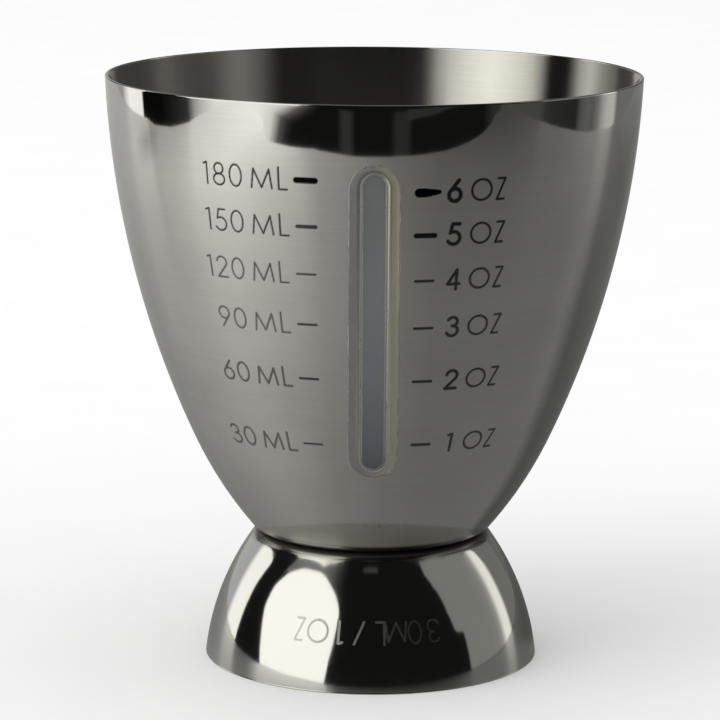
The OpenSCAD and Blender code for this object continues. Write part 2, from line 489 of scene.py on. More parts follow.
def on_wall(outline, off):
    """The outline laid on the upper bowl's wall, offset outward by off, facing the front."""
    x = outline[:, 0]
    z = WINDOW_MID + outline[:, 1]
    radius, _ = upper_bowl.wall(z - JOINT_Z, off)
    return np.stack((x, -np.sqrt(radius ** 2 - x ** 2), z), axis=-1)


def skin(name, loops, ring_closed):
    """Surface over loops of equal length: closed into a ring, or capped across its end loops."""
    count = len(loops[0])
    total = len(loops)
    faces = []
    for j in range(total if ring_closed else total - 1):
        k = (j + 1) % total
        for i in range(count):
            following = (i + 1) % count
            faces.append((j * count + i, j * count + following, k * count + following, k * count + i))
    if not ring_closed:
        half = count // 2
        for start, turn in ((0, 1), ((total - 1) * count, -1)):
            strips = [(start + i, start + i + 1, start + count - i - 1, start + (count - i) % count)
                      for i in range(1, half - 1)]
            strips += [(start, start + 1, start + count - 1),
                       (start + half - 1, start + half, start + half + 1)]
            faces += [strip[::-turn] for strip in strips]
    return shell(name, np.concatenate(loops), faces)


def quarter_turn(centre, radius, start, end, steps=6):
    turns = np.radians(np.linspace(start, end, steps + 1))
    return [(centre[0] + radius * math.cos(t), centre[1] + radius * math.sin(t)) for t in turns]


# Roundings of the window: the lips' as shares of their heights
LIP_ROUND = 0.85
INNER_LIP_ROUND = 0.6
RECESS_ROUND = 0.0002


def window_section():
    """From the pane up its recess, over the outer lip, through the slot and round the inner lip."""
    lip_round = LIP_ROUND * LIP_H
    inner_round = INNER_LIP_ROUND * INNER_LIP_H
    recess_edge = (WINDOW_W - PANE_W) / 2.0
    recess_side = recess_edge - RECESS_ROUND
    pane_face = PANE_T - WALL - INNER_LIP_H
    inner_face = -WALL - INNER_LIP_H
    web = LIP_GRIP + GROOVE_FIT
    section = quarter_turn((recess_edge, pane_face + RECESS_ROUND), RECESS_ROUND, 270.0, 180.0)
    section += quarter_turn((recess_side - lip_round, LIP_H - lip_round), lip_round, 0.0, 90.0)
    section += quarter_turn((lip_round, LIP_H - lip_round), lip_round, 90.0, 180.0)
    section += [(0.0, GROOVE_FIT), (web, GROOVE_FIT)]
    section += [(web, -WALL - GROOVE_FIT), (0.0, -WALL - GROOVE_FIT)]
    section += quarter_turn((inner_round, inner_face + inner_round), inner_round, 180.0, 270.0)
    section += [(recess_edge, inner_face)]
    return section


# Ends of the slot's cutter along Y, in rim radii
CUTTER_ENDS = (-2.0, -0.25)


def slot_cutter():
    """Stadium prism that cuts the window's slot through the front wall."""
    outline = stadium(LIP_GRIP)
    loops = [np.stack((outline[:, 0], np.full(len(outline), y), WINDOW_MID + outline[:, 1]), axis=-1)
             for y in (end * RIM_R for end in CUTTER_ENDS)]
    return skin("slot_cutter", loops, False)


def cut_slot(piece):
    cutter = slot_cutter()
    cut = piece.modifiers.new("slot", "BOOLEAN")
    cut.operation = "DIFFERENCE"
    cut.solver = "EXACT"
    cut.object = cutter
    mesh = bpy.data.meshes.new_from_object(piece.evaluated_get(bpy.context.evaluated_depsgraph_get()))
    piece.modifiers.clear()
    piece.data = mesh
    bpy.data.objects.remove(cutter)


# Edges that are sharper than this, in degrees, aren't shaded smooth
CUP_SHARP = 50.0
WINDOW_SHARP = 40.0


def sharpen(piece, angle):
    piece.data.set_sharp_from_angle(angle=math.radians(angle))


# Colours of the steel, its ink, and the residue with painted shade in its joint
STEEL_TINT = (0.63, 0.62, 0.575)
MIRROR_TINT = (0.66, 0.655, 0.605)
INNER_TINT = (0.62, 0.605, 0.54)
WELD_TINT = (0.5, 0.48, 0.45)
INK_COLOUR = (0.008, 0.0075, 0.006, 1.0)
ETCHED_COLOUR = (0.54, 0.52, 0.48, 1.0)
CUT_ROUGHNESS = 0.5
RESIDUE_AND_SHADE_COLOUR = (0.05, 0.045, 0.035, 1.0)
RESIDUE_AND_SHADE_REACH = 0.0014
RESIDUE_AND_SHADE_CORE = 0.2
RESIDUE_AND_SHADE_STRENGTH = 0.7

# Height of the polished rim zone, its soft edge, and the share of the lines that is left in it
POLISHED_ABOVE = 0.0775
POLISH_FADE = 0.004
POLISHED_LINES = 0.2

# Values of the noise between which the tint varies, and the value of the roughest lines
MOTTLE_RANGE = (0.4, 0.6)
LINE_PEAK = 0.65


# Shader building: a node with its inputs set or linked by name
def add(tree, kind, inputs=None, **settings):
    node = tree.nodes.new(kind)
    for key, value in settings.items():
        setattr(node, key, value)
    for key, value in (inputs or {}).items():
        if isinstance(value, bpy.types.NodeSocket):
            tree.links.new(value, node.inputs[key])
        else:
            node.inputs[key].default_value = value
    return node


def new_material(name):
    material = bpy.data.materials.new(name)
    material.use_nodes = True
    material.node_tree.nodes.clear()
    return material, material.node_tree


def object_place(tree):
    return add(tree, "ShaderNodeTexCoord").outputs["Object"]


def axes_of(tree, place):
    return add(tree, "ShaderNodeSeparateXYZ", {"Vector": place}).outputs


def surface(tree, shader):
    add(tree, "ShaderNodeOutputMaterial", {"Surface": shader})


def math_node(tree, operation, *values):
    node = add(tree, "ShaderNodeMath", dict(enumerate(values)), operation=operation)
    return node.outputs[0]


def plus(tree, *values):
    return math_node(tree, "ADD", *values)


def times(tree, *values):
    return math_node(tree, "MULTIPLY", *values)


def remap(tree, value, low, high, to_low, to_high):
    node = add(tree, "ShaderNodeMapRange",
               {"Value": value, "From Min": low, "From Max": high, "To Min": to_low, "To Max": to_high})
    return node.outputs["Result"]


# Sockets of the mix node that hold colours
MIX_FIRST = 6
MIX_SECOND = 7
MIX_RESULT = 2


def blend_colour(tree, factor, first, second):
    node = add(tree, "ShaderNodeMix", {0: factor, MIX_FIRST: first, MIX_SECOND: second}, data_type="RGBA")
    return node.outputs[MIX_RESULT]


def opaque(tint, share=1.0):
    """Colour of a tint, or of a share of it, with full alpha."""
    return tuple(share * c for c in tint) + (1.0,)


def noise(tree, place, scale, detail):
    node = add(tree, "ShaderNodeTexNoise", {"Vector": place, "Scale": scale, "Detail": detail})
    return node.outputs["Fac"]


def streaks(tree, place, around, upward):
    """Noise drawn out along the turning direction: lines at one height, long around the axis."""
    stretch = add(tree, "ShaderNodeMapping", {"Vector": place, "Scale": (around, around, upward)})
    lines = add(tree, "ShaderNodeTexNoise",
                {"Vector": stretch.outputs["Vector"], "Scale": 1.0, "Detail": 3.0, "Roughness": 0.6})
    return lines.outputs["Fac"]


def steel(name, tint, smooth, rough, line_height, wave_height, anisotropy,
          cut_colour=INK_COLOUR, polished_above=1.0, face_lean=0.0, mottling=0.045):
    """Turned stainless steel: fine lines round the axis, slow waves, and a dull finish in its cuts.

    The lines fade above the height polished_above, face_lean is the upward slope of the faces that
    the spinning tool left, and mottling is the share by which the tint varies.
    """
    material, tree = new_material(name)
    place = object_place(tree)
    height = axes_of(tree, place)["Z"]
    fine = streaks(tree, place, around=60.0, upward=9000.0)
    broad = streaks(tree, place, around=30.0, upward=2200.0)
    wave = noise(tree, place, scale=70.0, detail=2.0)
    lines = times(tree, plus(tree, fine, broad), 0.5)
    mixed = times(tree, plus(tree, lines, wave), 0.5)
    mottle = remap(tree, mixed, *MOTTLE_RANGE, 0.0, 1.0)
    satin = remap(tree, height, polished_above - POLISH_FADE, polished_above, 1.0, POLISHED_LINES)
    ink = add(tree, "ShaderNodeAttribute", attribute_name="ink").outputs["Fac"]
    # Darker and duller near the joint between the bowls: partly residue, partly painted shade of the
    # crevice there
    from_joint = math_node(tree, "ABSOLUTE", math_node(tree, "SUBTRACT", height, JOINT_Z))
    residue_and_shade = remap(tree, from_joint, RESIDUE_AND_SHADE_CORE * RESIDUE_AND_SHADE_REACH, RESIDUE_AND_SHADE_REACH, RESIDUE_AND_SHADE_STRENGTH, 0.0)

    clean = blend_colour(tree, mottle, opaque(tint, 1.0 - mottling), opaque(tint, 1.0 + mottling))
    metal = blend_colour(tree, residue_and_shade, clean, RESIDUE_AND_SHADE_COLOUR)
    colour = blend_colour(tree, ink, metal, cut_colour)
    worn = remap(tree, times(tree, lines, satin), 0.0, LINE_PEAK, smooth, rough)
    dull = times(tree, math_node(tree, "MAXIMUM", ink, residue_and_shade), CUT_ROUGHNESS)
    roughness = math_node(tree, "MAXIMUM", worn, dull)
    bump = add(tree, "ShaderNodeBump", {"Height": wave, "Strength": 1.0, "Distance": wave_height})
    bump = add(tree, "ShaderNodeBump", {"Height": lines, "Strength": satin, "Distance": line_height,
                                        "Normal": bump.outputs["Normal"]})
    if face_lean:
        bump = add(tree, "ShaderNodeBump", {"Height": height, "Strength": 1.0, "Distance": face_lean,
                                            "Normal": bump.outputs["Normal"]}, invert=True)
    tangent = add(tree, "ShaderNodeTangent", direction_type="RADIAL", axis="Z")
    shader = add(tree, "ShaderNodeBsdfPrincipled",
                 {"Base Color": colour, "Metallic": 1.0, "Roughness": roughness,
                  "Normal": bump.outputs["Normal"], "Tangent": tangent.outputs["Tangent"],
                  "Anisotropic": anisotropy, "Anisotropic Rotation": 0.25})
    surface(tree, shader.outputs["BSDF"])
    return material


# Share of the tint in the plastic's clouds, and the values of the noise that gloss varies between
CLOUD_SHADE = 0.9
GLOSS_RANGE = (0.35, 0.65)


def clear_plastic(name, tint, haze, smooth, rough, right_painted_shading=None, foot_painted_shade=None):
    """Clear moulded plastic with a little haze, uneven gloss and slight ripples.

    Its colour changes across the window to the given right-side colour, a painted light and shade, and from
    its top to its foot to the given foot colour, a painted shade.
    """
    material, tree = new_material(name)
    place = object_place(tree)
    cloud = noise(tree, place, scale=160.0, detail=4.0)
    ripple = noise(tree, place, scale=500.0, detail=2.0)
    axes = axes_of(tree, place)
    colour = blend_colour(tree, cloud, opaque(tint), opaque(tint, CLOUD_SHADE))
    # Right side lighter or darker than the left: painted light and shade of light falling from the left
    if right_painted_shading:
        across = remap(tree, axes["X"], -PANE_W / 2.0, PANE_W / 2.0, 0.0, 1.0)
        colour = blend_colour(tree, across, colour, opaque(right_painted_shading))
    # Darker towards the foot: painted shade
    if foot_painted_shade:
        half = WINDOW_LENGTH / 2.0
        down = remap(tree, axes["Z"], WINDOW_MID - half, WINDOW_MID + half, 1.0, 0.0)
        colour = blend_colour(tree, down, colour, opaque(foot_painted_shade))
    bump = add(tree, "ShaderNodeBump", {"Height": ripple, "Strength": 0.25, "Distance": 0.00005})
    shader = add(tree, "ShaderNodeBsdfPrincipled",
                 {"Base Color": colour, "Roughness": remap(tree, cloud, *GLOSS_RANGE, smooth, rough),
                  "IOR": 1.49, "Transmission Weight": 1.0 - haze, "Normal": bump.outputs["Normal"]})
    surface(tree, shader.outputs["BSDF"])
    return material


def finish_piece(piece, node, slot, *materials):
    """Dress a piece with its materials, and let it stand for its node."""
    for i, material in enumerate(materials):
        if i < len(piece.data.materials):
            piece.data.materials[i] = material
        else:
            piece.data.materials.append(material)
    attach(piece, "root")
    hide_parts(node)


def make_upper_cup():
    cup = revolve("upper_cup_shell", upper_bowl, upper_scale(), JOINT_Z, 1)
    cut_slot(cup)
    sharpen(cup, CUP_SHARP)
    outside = steel("satin_steel", STEEL_TINT, smooth=0.03, rough=0.065, line_height=0.0000002,
                    wave_height=0.00003, anisotropy=0.5, polished_above=POLISHED_ABOVE)
    inside = steel("brushed_inside", INNER_TINT, smooth=0.11, rough=0.15, line_height=0.000001,
                   wave_height=0.00001, anisotropy=1.0, face_lean=0.55)
    finish_piece(cup, "upper_cup", "satin_steel", outside, inside)


def make_lower_cup():
    cup = revolve("lower_cup_shell", lower_bowl, lower_scale(), JOINT_Z, -1)
    outside = steel("polished_steel", MIRROR_TINT, smooth=0.05, rough=0.08, line_height=0.00000002,
                    wave_height=0.00001, anisotropy=0.2, cut_colour=ETCHED_COLOUR, mottling=0.012)
    inside = steel("brushed_under", INNER_TINT, smooth=0.14, rough=0.18, line_height=0.000001,
                   wave_height=0.00001, anisotropy=1.0)
    finish_piece(cup, "lower_cup", "polished_steel", outside, inside)


# Material slots of the window after its lips, and the rows of its skin from the pane that are frosted
FROSTED = 1
PANE = 2
FROSTED_ROWS = 11


def make_window():
    loops = [on_wall(stadium(inset), off) for inset, off in window_section()]
    window = skin("sight_window_pane", loops, False)
    sharpen(window, WINDOW_SHARP)
    # The right-side colours of the lips and frosted edge are painted light and shade, and the pane's foot
    # colour is painted shade
    lips = clear_plastic("clear_window", (0.73, 0.72, 0.72), haze=0.08, smooth=0.1, rough=0.22,
                         right_painted_shading=(0.89, 0.86, 0.74))
    edge = clear_plastic("frosted_edge", (0.88, 0.86, 0.8), haze=0.22, smooth=0.2, rough=0.35,
                         right_painted_shading=(0.5, 0.47, 0.4))
    pane = clear_plastic("clear_pane", (0.84, 0.88, 0.9), haze=0.11, smooth=0.05, rough=0.12,
                         foot_painted_shade=(0.25, 0.3, 0.35))
    finish_piece(window, "sight_window", "clear_window", lips, edge, pane)
    around = len(stadium(0.0))
    for face in window.data.polygons[:FROSTED_ROWS * around]:
        face.material_index = FROSTED
    for face in window.data.polygons[-around:]:
        face.material_index = PANE


# Sealant bead: its section in shares of width and height, and how unevenly it was run
BEAD = ((0.0, 1.0), (0.3, 0.55), (0.62, 0.3), (1.0, 0.0), (0.0, 0.0))
BEAD_MEAN = 0.45
BEAD_SWING = 0.9
BEAD_LEAST = 0.2
WIDTH_WAVES = (7, 11, 23, 31, 47)
HEIGHT_WAVES = (5, 13, 19, 37, 53)

# Step out from the lip that gives the direction of the bead's width
PROBE = 0.001


def wander(count, waves, phase):
    """Uneven run along a closed loop, from a thin smear to full width, out of a few fixed waves."""
    t = np.linspace(0.0, 2.0 * math.pi, count, endpoint=False)
    wave = sum(np.sin(n * t + phase * n * n) for n in waves) / len(waves)
    return np.clip(BEAD_MEAN + BEAD_SWING * wave, BEAD_LEAST, 1.0)


def make_seal():
    """A hand-run bead along the foot of the outer lip, wider and narrower as it goes."""
    count = len(stadium(0.0))
    width = (SEAL_W - SEAL_GAP) * wander(count, WIDTH_WAVES, phase=1.3)
    rise = (SEAL_H - SEAL_GAP) * wander(count, HEIGHT_WAVES, phase=0.7)
    rest = stadium(-SEAL_GAP)
    away = stadium(-SEAL_GAP - PROBE) - rest
    loops = []
    for out, up in BEAD:
        outline = rest + away * (out * width / PROBE)[:, None]
        loops.append(on_wall(outline, SEAL_GAP + up * rise))
    seal = skin("window_seal_bead", loops, True)
    sealant = clear_plastic("clear_sealant", (0.93, 0.93, 0.9), haze=0.15, smooth=0.1, rough=0.3)
    finish_piece(seal, "window_seal", "clear_sealant", sealant)


def finish_welds():
    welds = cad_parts["base_welds"]
    welds.data.materials.clear()
    weld_steel = steel("weld_steel", WELD_TINT, smooth=0.25, rough=0.4, line_height=0.000002,
                       wave_height=0.00002, anisotropy=0.0)
    welds.data.materials.append(weld_steel)


make_upper_cup()
make_lower_cup()
make_window()
make_seal()
finish_welds()


# Camera at the photograph's viewing angle
CAMERA_PLACE = (-0.0019, -0.52871, 0.14715)
CAMERA_PITCH = 10.89
CAMERA_ROLL = 0.35
CAMERA_LENS = 176.92
CAMERA_SENSOR = 36.0

camera_data = bpy.data.cameras.new("camera")
camera_data.lens = CAMERA_LENS
camera_data.sensor_width = CAMERA_SENSOR
camera = bpy.data.objects.new("camera", camera_data)
camera.matrix_world = (Matrix.Translation(CAMERA_PLACE)
                       @ Matrix.Rotation(math.radians(90.0 - CAMERA_PITCH), 4, "X")
                       @ Matrix.Rotation(math.radians(CAMERA_ROLL), 4, "Z"))
bpy.context.scene.collection.objects.link(camera)
bpy.context.scene.camera = camera
bpy.context.scene.view_settings.view_transform = "Standard"


# Stage: a pale floor, and soft boxes and flags that only the steel's reflections see
def panel(name, corners, material):
    mesh = bpy.data.meshes.new(name)
    mesh.from_pydata(corners, [], [tuple(range(len(corners)))])
    mesh.materials.append(material)
    sheet = bpy.data.objects.new(name, mesh)
    bpy.context.scene.collection.objects.link(sheet)
    return sheet


def ramp(tree, value, stops):
    """Grey level along a value from 0 to 1, straight between the stops."""
    node = add(tree, "ShaderNodeValToRGB", {"Fac": value})
    elements = node.color_ramp.elements
    for position, _ in stops[1:-1]:
        elements.new(position)
    for element, (_, grey) in zip(elements, stops):
        element.color = opaque((grey, grey, grey))
    return node.outputs["Color"]


def emission(tree, tint, level):
    return add(tree, "ShaderNodeEmission", {"Color": opaque(tint), "Strength": level}).outputs[0]


def glow(name, level, tint=(1.0, 1.0, 1.0)):
    material, tree = new_material(name)
    surface(tree, emission(tree, tint, level))
    return material


def graded_glow(name, axis, stops, slant=0.0, height=0.0):
    """Glow that changes along one axis, straight between stops of (place, level).

    The stops hold at one height, and a slant moves them along by that much for each metre down from it.
    """
    material, tree = new_material(name)
    place = object_place(tree)
    axes = axes_of(tree, place)
    along = axes[axis]
    if slant:
        rise = math_node(tree, "SUBTRACT", axes["Z"], height)
        along = plus(tree, along, times(tree, rise, slant))
    first, last = stops[0][0], stops[-1][0]
    peak = max(level for _, level in stops)
    shares = [((at - first) / (last - first), level / peak) for at, level in stops]
    level = times(tree, ramp(tree, remap(tree, along, first, last, 0.0, 1.0), shares), peak)
    surface(tree, emission(tree, WARM_WHITE, level))
    return material


def reflection_only(sheet):
    sheet.visible_camera = False
    sheet.visible_diffuse = False
    sheet.visible_shadow = False
    sheet.visible_volume_scatter = False


def rounded(points, steps=6):
    """Flat outline from corners (a, b) or (a, b, radius), with an arc at each corner that has a radius."""
    outline = []
    for i, (a, b, *radius) in enumerate(points):
        corner = Vector((a, b))
        if not radius:
            outline.append(corner)
            continue
        back = Vector(points[i - 1][:2]) - corner
        ahead = Vector(points[(i + 1) % len(points)][:2]) - corner
        half = back.angle(ahead) / 2.0
        reach = min(radius[0] / math.tan(half), 0.5 * back.length, 0.5 * ahead.length)
        start = corner + back.normalized() * reach
        end = corner + ahead.normalized() * reach
        for k in range(steps + 1):
            t = k / steps
            outline.append(start.lerp(corner, t).lerp(corner.lerp(end, t), t))
    return outline


# The room: its walls, and how far cards stand off them
FRONT_Y = -0.45
LEFT_X = -0.60
RIGHT_X = 0.60
BACK_Y = 0.85
ROOM_TOP = 1.6
ROOM_LOW = -0.12
CARD_LIFT = 0.003
BEHIND = 0.5 * CARD_LIFT
IN_FRONT = 2.0 * CARD_LIFT

# Levels of the cards, where 1 is white
NIGHT = 0.008
BOX_LEVEL = 1.42
LOW_BOX_LEVEL = 1.3
STRIP_LEVEL = 1.3
WARM_WHITE = (1.0, 1.0, 0.98)

BLACK = glow("flag_black", NIGHT)
SOFT_BOX = glow("soft_box", BOX_LEVEL, WARM_WHITE)
LAVENDER = glow("lavender_grey", 0.52, (0.98, 0.98, 1.05))
GREY = glow("mid_grey", 0.28)
DIM = glow("dim_grey", 0.17)
DUSK = glow("dusk_grey", 0.06)
FAINT = glow("faint_grey", 0.035)


# Each wall is a function that lays a place (a, b) of a flat outline on it, lifted into the room
def front_wall(a, b, lift):
    return (a, FRONT_Y + lift, b)


def left_wall(a, b, lift):
    return (LEFT_X + lift, a, b)


def right_wall(a, b, lift):
    return (RIGHT_X - lift, a, b)


def back_wall(a, b, lift):
    return (a, BACK_Y - lift, b)


def ceiling(a, b, lift):
    return (a, b, ROOM_TOP - lift)


def card(name, wall, points, material, lift=CARD_LIFT):
    corners = [wall(a, b, lift) for a, b in rounded(points)]
    reflection_only(panel(name, corners, material))


def graded_card(name, wall, points, axis, stops, slant=0.0, height=0.0, lift=CARD_LIFT):
    card(name, wall, points, graded_glow(name + "_glow", axis, stops, slant, height), lift)


def oblong(a0, b0, a1, b1, *radius):
    return [(a0, b0, *radius), (a1, b0, *radius), (a1, b1, *radius), (a0, b1, *radius)]


# Flags behind everything
side_wall = oblong(FRONT_Y, ROOM_LOW, BACK_Y, ROOM_TOP)
cross_wall = oblong(LEFT_X, ROOM_LOW, RIGHT_X, ROOM_TOP)
card("front_flag", front_wall, cross_wall, BLACK, 0.0)
card("left_flag", left_wall, side_wall, BLACK, 0.0)
card("right_flag", right_wall, side_wall, BLACK, 0.0)
card("back_flag", back_wall, cross_wall, DUSK, 0.0)
card("ceiling_flag", ceiling, oblong(LEFT_X, FRONT_Y, RIGHT_X, BACK_Y), BLACK, 0.0)
card("overhead", ceiling, oblong(-0.4, -0.25, 0.4, 0.8, 0.08), GREY)

# Large soft box round the front left corner, with a haze beside and over it
FRONT_BOX = ((LEFT_X, 0.0), (-0.272, 0.0), (-0.232, 0.14, 0.1), (-0.216, 0.3, 0.1), (-0.28, 0.42, 0.1),
             (-0.46, 0.61, 0.1), (LEFT_X, 0.73))
LEFT_BOX = ((FRONT_Y, 0.0), (-0.09, 0.0), (-0.05, 0.1, 0.05), (0.004, 0.2, 0.06), (0.0, 0.29, 0.06),
            (-0.065, 0.4, 0.1), (-0.19, 0.53, 0.1), (FRONT_Y, 0.73))
LEFT_HAZE = ((-0.02, 0.38), (-0.08, 0.53), (-0.19, 0.63), (FRONT_Y, 0.82), (FRONT_Y, 0.65))
FRONT_HAZE_LEVELS = ((LEFT_X, 0.19), (-0.45, 0.15), (-0.35, 0.08), (-0.26, 0.02), (-0.2, NIGHT))
card("front_box", front_wall, FRONT_BOX, SOFT_BOX)
card("left_box", left_wall, LEFT_BOX, SOFT_BOX)
card("left_haze", left_wall, LEFT_HAZE, DIM, BEHIND)
graded_card("front_haze", front_wall, oblong(LEFT_X, 0.3, -0.2, 0.82), "X", FRONT_HAZE_LEVELS, lift=BEHIND)
card("front_glint", front_wall, oblong(-0.07, 0.55, 0.06, 0.59, 0.02), DUSK)

# Strip to the left and the paler wall behind it
LEFT_REAR = ((0.4, 0.0), (BACK_Y, 0.0), (BACK_Y, 0.2), (0.4, 0.34))
LEFT_STRIP = ((0.22, 0.0), (0.52, 0.0), (0.5, 0.33, 0.1), (0.17, 0.326, 0.02), (0.205, 0.2, 0.1))
LEFT_STRIP_LEVELS = ((0.14, STRIP_LEVEL), (0.42, STRIP_LEVEL), (0.52, 0.5))
card("left_rear", left_wall, LEFT_REAR, LAVENDER)
graded_card("left_strip", left_wall, LEFT_STRIP, "Y", LEFT_STRIP_LEVELS, lift=IN_FRONT)

# Grey wall to the right, with its own strip
RIGHT_GREY = ((-0.19, 0.0), (BACK_Y, 0.0), (BACK_Y, 0.2), (0.4, 0.34), (-0.1, 0.58, 0.1), (-0.4, 0.8),
              (-0.4, 0.65, 0.1), (-0.33, 0.45, 0.1), (-0.28, 0.19, 0.05), (-0.2, 0.165, 0.02))
RIGHT_GREY_LEVELS = ((FRONT_Y, 0.25), (0.1, 0.26), (0.4, 0.2), (BACK_Y, 0.2))
RIGHT_STRIP = ((0.05, 0.0), (0.38, 0.0), (0.38, 0.2, 0.1), (0.26, 0.37, 0.1), (0.05, 0.37))
RIGHT_STRIP_LEVELS = ((0.05, 0.26), (0.13, 0.29), (0.18, 0.4), (0.235, 1.05), (0.32, 1.1), (0.37, 0.2),
                      (0.38, 0.2))
graded_card("right_grey", right_wall, RIGHT_GREY, "Y", RIGHT_GREY_LEVELS)
graded_card("right_strip", right_wall, RIGHT_STRIP, "Y", RIGHT_STRIP_LEVELS, lift=IN_FRONT)

# Feet of the walls, seen past the table's edges
FRONT_FOOT = ((LEFT_X, NIGHT), (-0.12, NIGHT), (-0.1, 0.04), (-0.08, 0.04), (-0.06, NIGHT), (0.05, NIGHT),
              (0.07, 0.03), (0.1, 0.03), (0.12, NIGHT), (0.45, NIGHT), (0.52, 0.03), (RIGHT_X, 0.045))
LEFT_FOOT = ((FRONT_Y, LOW_BOX_LEVEL), (-0.236, 1.13), (-0.148, 0.68), (-0.112, 0.45), (-0.085, 0.16),
             (-0.068, 0.045), (0.0, 0.02), (0.1, 0.004), (0.25, 0.004), (0.264, LOW_BOX_LEVEL),
             (0.42, LOW_BOX_LEVEL), (0.55, 0.4), (BACK_Y, 0.4))
RIGHT_FOOT = ((FRONT_Y, 0.08), (-0.2, 0.08), (-0.165, 0.045), (-0.1, 0.03), (0.02, 0.025), (0.055, 0.11),
              (0.1, 0.15), (0.14, 0.13), (0.18, 0.22), (0.22, 0.42), (0.27, 0.6), (0.34, 0.62), (0.39, 0.2),
              (BACK_Y, 0.2))
BACK_FOOT = ((LEFT_X, 0.52), (-0.25, 0.5), (0.25, 0.17), (RIGHT_X, 0.15))
BACK_FOOT_TOP = 0.22
FOOT_TOP = -CARD_LIFT
side_foot = oblong(FRONT_Y, ROOM_LOW, BACK_Y, FOOT_TOP)
graded_card("front_foot", front_wall, oblong(LEFT_X, ROOM_LOW, RIGHT_X, FOOT_TOP), "X", FRONT_FOOT)
graded_card("left_foot", left_wall, side_foot, "Y", LEFT_FOOT)
graded_card("right_foot", right_wall, side_foot, "Y", RIGHT_FOOT)
graded_card("back_foot", back_wall, oblong(LEFT_X, ROOM_LOW, RIGHT_X, BACK_FOOT_TOP), "X", BACK_FOOT)
card("front_skirt", front_wall, oblong(0.1, -0.012, 0.33, -0.001), FAINT, IN_FRONT)

# Foot of the soft box, whose end slants, and its heel, where the end stands steeper
BOX_FOOT = ((LEFT_X, LOW_BOX_LEVEL), (-0.47, 1.25), (-0.42, 1.1), (-0.385, 0.93), (-0.36, 0.5),
            (-0.335, 0.12), (-0.3, 0.03), (-0.27, NIGHT))
BOX_FOOT_END = -0.12
BOX_FOOT_SLANT = -4.0
BOX_FOOT_HEIGHT = -0.03
BOX_HEEL_TOP = -0.034
BOX_HEEL_SLANT = -0.8
BOX_HEEL_HEIGHT = -0.014
graded_card("box_foot", front_wall, oblong(LEFT_X, BOX_HEEL_TOP, BOX_FOOT_END, FOOT_TOP), "X", BOX_FOOT,
            BOX_FOOT_SLANT, BOX_FOOT_HEIGHT, IN_FRONT)
graded_card("box_heel", front_wall, oblong(LEFT_X, ROOM_LOW, BOX_FOOT_END, BOX_HEEL_TOP), "X", BOX_FOOT,
            BOX_HEEL_SLANT, BOX_HEEL_HEIGHT, IN_FRONT)

# Upper parts of the walls, which the inside of the upper bowl and the top of the lower one see
SIDE_EDGE = ((BACK_Y, 0.26), (0.45, 0.34), (0.2, 0.42), (0.03, 0.5), (-0.08, 0.51), (-0.19, 0.6),
             (-0.33, 0.71), (FRONT_Y, 0.795))
FRONT_EDGE = ((LEFT_X, 0.795), (-0.49, 0.765), (-0.41, 0.725), (-0.35, 0.72), (-0.3, 0.74), (-0.26, 0.81),
              (RIGHT_X, 0.81))
UPPER_FRONT = ((LEFT_X, 0.95), (-0.5, 0.84), (-0.45, 0.7), (-0.415, 0.6), (-0.38, 0.42), (-0.345, 0.22),
               (-0.31, 0.1), (-0.28, 0.04), (-0.2, 0.02), (RIGHT_X, 0.02))
UPPER_LEFT = ((-0.8, 1.0), (-0.5, 1.2), (-0.35, 1.3), (-0.17, 1.15), (-0.05, 0.98), (0.02, 0.8),
              (0.09, 0.45), (0.14, 0.1), (0.17, 0.01), (0.31, 0.01), (0.36, 0.15), (0.43, 0.5),
              (0.53, 0.68), (0.66, 0.37), (0.85, 0.22))
UPPER_RIGHT = ((-0.66, 0.02), (-0.52, 0.05), (-0.4, 0.11), (-0.28, 0.17), (-0.2, 0.21), (-0.11, 0.2),
               (-0.03, 0.15), (0.06, 0.085), (0.15, 0.07), (0.23, 0.075), (0.4, 0.11), (0.51, 0.12),
               (0.62, 0.075), (0.8, 0.06))

# The brushed inside smears these walls upward, so their levels slant that way too
SIDE_SLANT = -0.69
SIDE_HEIGHT = 0.6
FRONT_SLANT = 0.2
FRONT_HEIGHT = 1.0
upper_side = SIDE_EDGE + ((FRONT_Y, ROOM_TOP), (BACK_Y, ROOM_TOP))
upper_front = FRONT_EDGE + ((RIGHT_X, ROOM_TOP), (LEFT_X, ROOM_TOP))
graded_card("front_upper", front_wall, upper_front, "X", UPPER_FRONT, FRONT_SLANT, FRONT_HEIGHT)
graded_card("left_upper", left_wall, upper_side, "Y", UPPER_LEFT, SIDE_SLANT, SIDE_HEIGHT)
graded_card("right_upper", right_wall, upper_side, "Y", UPPER_RIGHT, SIDE_SLANT, SIDE_HEIGHT)

# Table top: its light towards the soft box by direction, in degrees from +X, and by distance
BOX_TURN = 207.0
BOX_WEDGE = ((0.0, 0.0), (0.5, 0.08), (0.67, 0.2), (0.88, 0.52), (0.97, 0.86), (1.0, 1.0))
BOX_GAIN = 2.05
BOX_POWER = 0.75
LEFT_FADE = (-0.42, -0.28)
LEFT_SHARE = 0.65

# Its plain level, which rises along Y, the measure's shadow, and a dark spot
PLAIN_LEVEL = 0.19
PLAIN_RISE = 0.38
SHADOW_TURN = 55.0
SHADOW_EDGE = (0.72, 0.88)
SHADOW_LEVEL = -0.1
SPOT_PLACE = (-0.362, 0.14, 0.0)
SPOT_REACH = 0.07
SPOT_LEVEL = -0.32

# Patches of the table: level, then where each grows from nothing to full along Y and along X
TABLE_PATCHES = ((0.11, (0.0, 0.3), (0.05, -0.1)),
                 (0.42, (-0.08, -0.28), (-0.15, -0.3)),
                 (0.1, (-0.05, 0.1), (0.2, 0.4)),
                 (-0.035, (-0.1, -0.25), (0.15, 0.3)),
                 (-0.07, (0.13, 0.26), (0.15, 0.27)))

